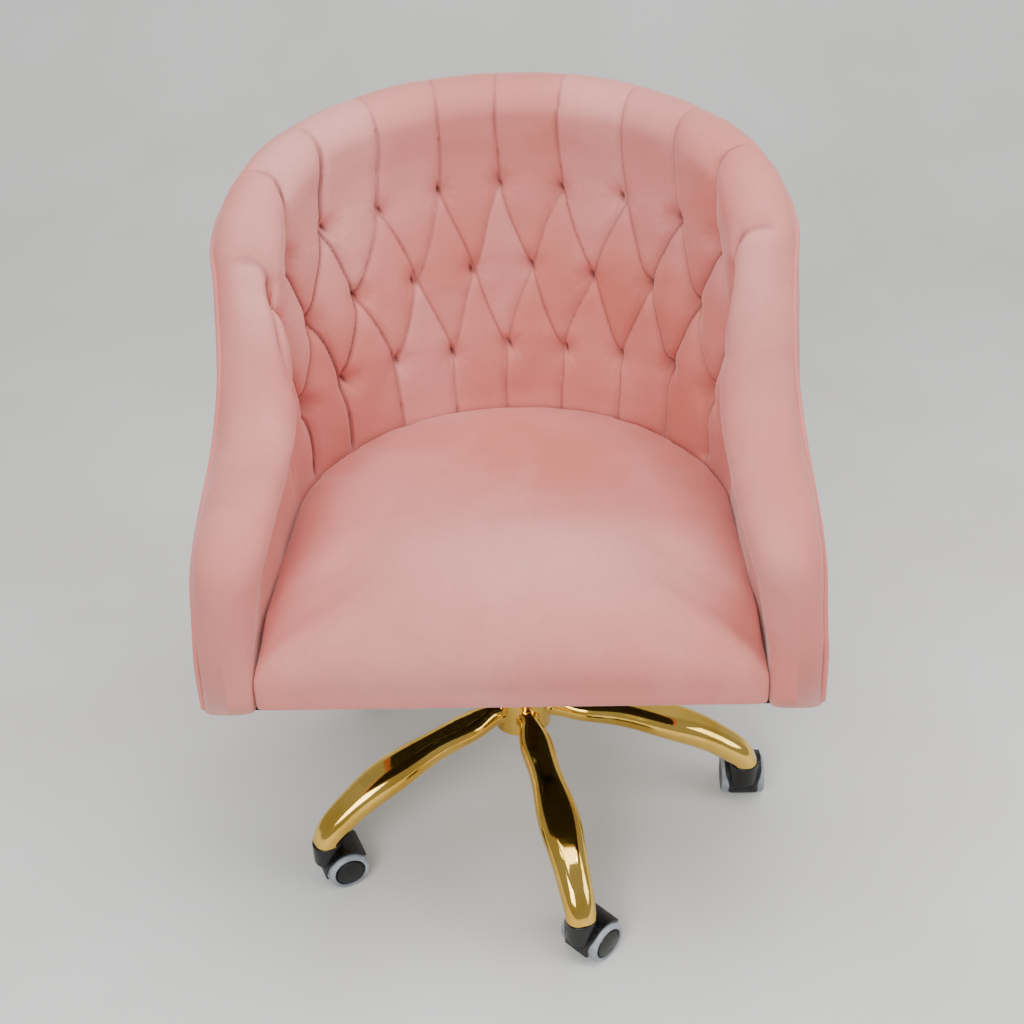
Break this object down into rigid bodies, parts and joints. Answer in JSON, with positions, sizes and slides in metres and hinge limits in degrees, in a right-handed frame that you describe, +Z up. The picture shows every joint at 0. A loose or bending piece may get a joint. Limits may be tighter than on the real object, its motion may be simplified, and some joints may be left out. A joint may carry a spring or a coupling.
{
  "type": "tufted swivel chair",
  "caption": "Low tub chair in buttonless-tufted velvet, with a crowned seat, welted sloping arms, gas lift and a gold star base on twin-wheel casters.",
  "frame": {"origin": "on the floor under the lift column", "axes": "+Z up, -Y towards the front of the seat, +X to the right of someone facing the chair"},
  "size_m": [0.6288, 0.5842, 0.869],
  "materials": {
    "gold_plating": "polished gold plating over cast metal",
    "zinc_steel": "satin zinc-plated steel",
    "black_steel": "satin black powder coat",
    "black_plastic": "satin moulded nylon",
    "grey_tread": "matte grey polyurethane",
    "plywood": "bare plywood",
    "foam": "open-cell foam",
    "pink_velvet": "dusty pink velvet with a brushed nap",
    "black_lining": "thin black non-woven lining"
  },
  "bodies": {
    "base": {"base_hub": "gold_plating", "leg_1": "gold_plating", "leg_2": "gold_plating", "leg_3": "gold_plating", "leg_4": "gold_plating", "leg_5": "gold_plating", "caster_sockets": "zinc_steel", "caster_stems": "zinc_steel", "column_tube": "gold_plating", "column_guide_bush": "black_plastic", "thrust_bearing": "zinc_steel"},
    "lift_rod": {"piston_rod": "zinc_steel", "rod_clip": "zinc_steel"},
    "seat": {"gas_cylinder": "zinc_steel", "mechanism_plate": "black_steel", "mechanism_screws": "zinc_steel", "tee_nuts": "zinc_steel", "seat_board": "plywood", "seat_foam": "foam", "seat_cover": "pink_velvet", "dust_cover": "black_lining", "back_frame": "plywood", "back_foam": "foam", "tufted_inner_cover": "pink_velvet", "outside_back_cover": "pink_velvet", "welt_piping": "pink_velvet", "back_bolts": "zinc_steel"},
    "lever": {"lift_lever": "zinc_steel", "lever_grip": "black_plastic"},
    "release_pin": {"release_pin": "zinc_steel"},
    "caster_1_fork": {"caster_1_hood": "black_plastic", "caster_1_axle": "zinc_steel"},
    "caster_1_right_wheel": {"caster_1_right_core": "black_plastic", "caster_1_right_tread": "grey_tread"},
    "caster_1_left_wheel": {"caster_1_left_core": "black_plastic", "caster_1_left_tread": "grey_tread"},
    "caster_2_fork": {"caster_2_hood": "black_plastic", "caster_2_axle": "zinc_steel"},
    "caster_2_right_wheel": {"caster_2_right_core": "black_plastic", "caster_2_right_tread": "grey_tread"},
    "caster_2_left_wheel": {"caster_2_left_core": "black_plastic", "caster_2_left_tread": "grey_tread"},
    "caster_3_fork": {"caster_3_hood": "black_plastic", "caster_3_axle": "zinc_steel"},
    "caster_3_right_wheel": {"caster_3_right_core": "black_plastic", "caster_3_right_tread": "grey_tread"},
    "caster_3_left_wheel": {"caster_3_left_core": "black_plastic", "caster_3_left_tread": "grey_tread"},
    "caster_4_fork": {"caster_4_hood": "black_plastic", "caster_4_axle": "zinc_steel"},
    "caster_4_right_wheel": {"caster_4_right_core": "black_plastic", "caster_4_right_tread": "grey_tread"},
    "caster_4_left_wheel": {"caster_4_left_core": "black_plastic", "caster_4_left_tread": "grey_tread"},
    "caster_5_fork": {"caster_5_hood": "black_plastic", "caster_5_axle": "zinc_steel"},
    "caster_5_right_wheel": {"caster_5_right_core": "black_plastic", "caster_5_right_tread": "grey_tread"},
    "caster_5_left_wheel": {"caster_5_left_core": "black_plastic", "caster_5_left_tread": "grey_tread"}
  },
  "joints": [
    {"name": "seat_swivel", "type": "hinge", "parent": "base", "child": "lift_rod", "pos_m": [0, 0, 0.121], "axis": [0, 0, 1], "continuous": true},
    {"name": "seat_height", "type": "slide", "parent": "lift_rod", "child": "seat", "axis": [0, 0, 1], "range_m": [-0.045, 0.04]},
    {"name": "lever_lift", "type": "hinge", "parent": "seat", "child": "lever", "pos_m": [-0.045, 0, 0.349], "axis": [0, 1, 0], "range_deg": [0, 5], "stiffness_Nm_per_rad": 4, "springref_deg": -3.44},
    {"name": "release_pin_travel", "type": "slide", "parent": "seat", "child": "release_pin", "axis": [0, 0, -1], "range_m": [0, 0.0053]},
    {"name": "caster_1_swivel", "type": "hinge", "parent": "base", "child": "caster_1_fork", "pos_m": [-0.23693, -0.14921, 0.05], "axis": [0, 0, 1], "continuous": true},
    {"name": "caster_1_right_roll", "type": "hinge", "parent": "caster_1_fork", "child": "caster_1_right_wheel", "pos_m": [-0.22107, -0.14181, 0.025], "axis": [-0.4226, 0.9063, 0], "continuous": true},
    {"name": "caster_1_left_roll", "type": "hinge", "parent": "caster_1_fork", "child": "caster_1_left_wheel", "pos_m": [-0.22107, -0.14181, 0.025], "axis": [-0.4226, 0.9063, 0], "continuous": true},
    {"name": "caster_2_swivel", "type": "hinge", "parent": "base", "child": "caster_2_fork", "pos_m": [0.06869, -0.27144, 0.05], "axis": [0, 0, 1], "continuous": true},
    {"name": "caster_2_right_roll", "type": "hinge", "parent": "caster_2_fork", "child": "caster_2_right_wheel", "pos_m": [0.08084, -0.25886, 0.025], "axis": [-0.7193, 0.6947, 0], "continuous": true},
    {"name": "caster_2_left_roll", "type": "hinge", "parent": "caster_2_fork", "child": "caster_2_left_wheel", "pos_m": [0.08084, -0.25886, 0.025], "axis": [-0.7193, 0.6947, 0], "continuous": true},
    {"name": "caster_3_swivel", "type": "hinge", "parent": "base", "child": "caster_3_fork", "pos_m": [0.27938, -0.01856, 0.05], "axis": [0, 0, 1], "continuous": true},
    {"name": "caster_3_right_roll", "type": "hinge", "parent": "caster_3_fork", "child": "caster_3_right_wheel", "pos_m": [0.27938, -0.00106, 0.025], "axis": [-1, 0, 0], "continuous": true},
    {"name": "caster_3_left_roll", "type": "hinge", "parent": "caster_3_fork", "child": "caster_3_left_wheel", "pos_m": [0.27938, -0.00106, 0.025], "axis": [-1, 0, 0], "continuous": true},
    {"name": "caster_4_swivel", "type": "hinge", "parent": "base", "child": "caster_4_fork", "pos_m": [0.10398, 0.25998, 0.05], "axis": [0, 0, 1], "continuous": true},
    {"name": "caster_4_right_roll", "type": "hinge", "parent": "caster_4_fork", "child": "caster_4_right_wheel", "pos_m": [0.12142, 0.2615, 0.025], "axis": [-0.0872, 0.9962, 0], "continuous": true},
    {"name": "caster_4_left_roll", "type": "hinge", "parent": "caster_4_fork", "child": "caster_4_left_wheel", "pos_m": [0.12142, 0.2615, 0.025], "axis": [-0.0872, 0.9962, 0], "continuous": true},
    {"name": "caster_5_swivel", "type": "hinge", "parent": "base", "child": "caster_5_fork", "pos_m": [-0.21512, 0.17923, 0.05], "axis": [0, 0, 1], "continuous": true},
    {"name": "caster_5_right_roll", "type": "hinge", "parent": "caster_5_fork", "child": "caster_5_right_wheel", "pos_m": [-0.21816, 0.19647, 0.025], "axis": [-0.9848, -0.1736, 0], "continuous": true},
    {"name": "caster_5_left_roll", "type": "hinge", "parent": "caster_5_fork", "child": "caster_5_left_wheel", "pos_m": [-0.21816, 0.19647, 0.025], "axis": [-0.9848, -0.1736, 0], "continuous": true}
  ],
  "couplings": [
    {"joint": "release_pin_travel", "follows": "lever_lift", "m_per_rad": 0.06}
  ]
}
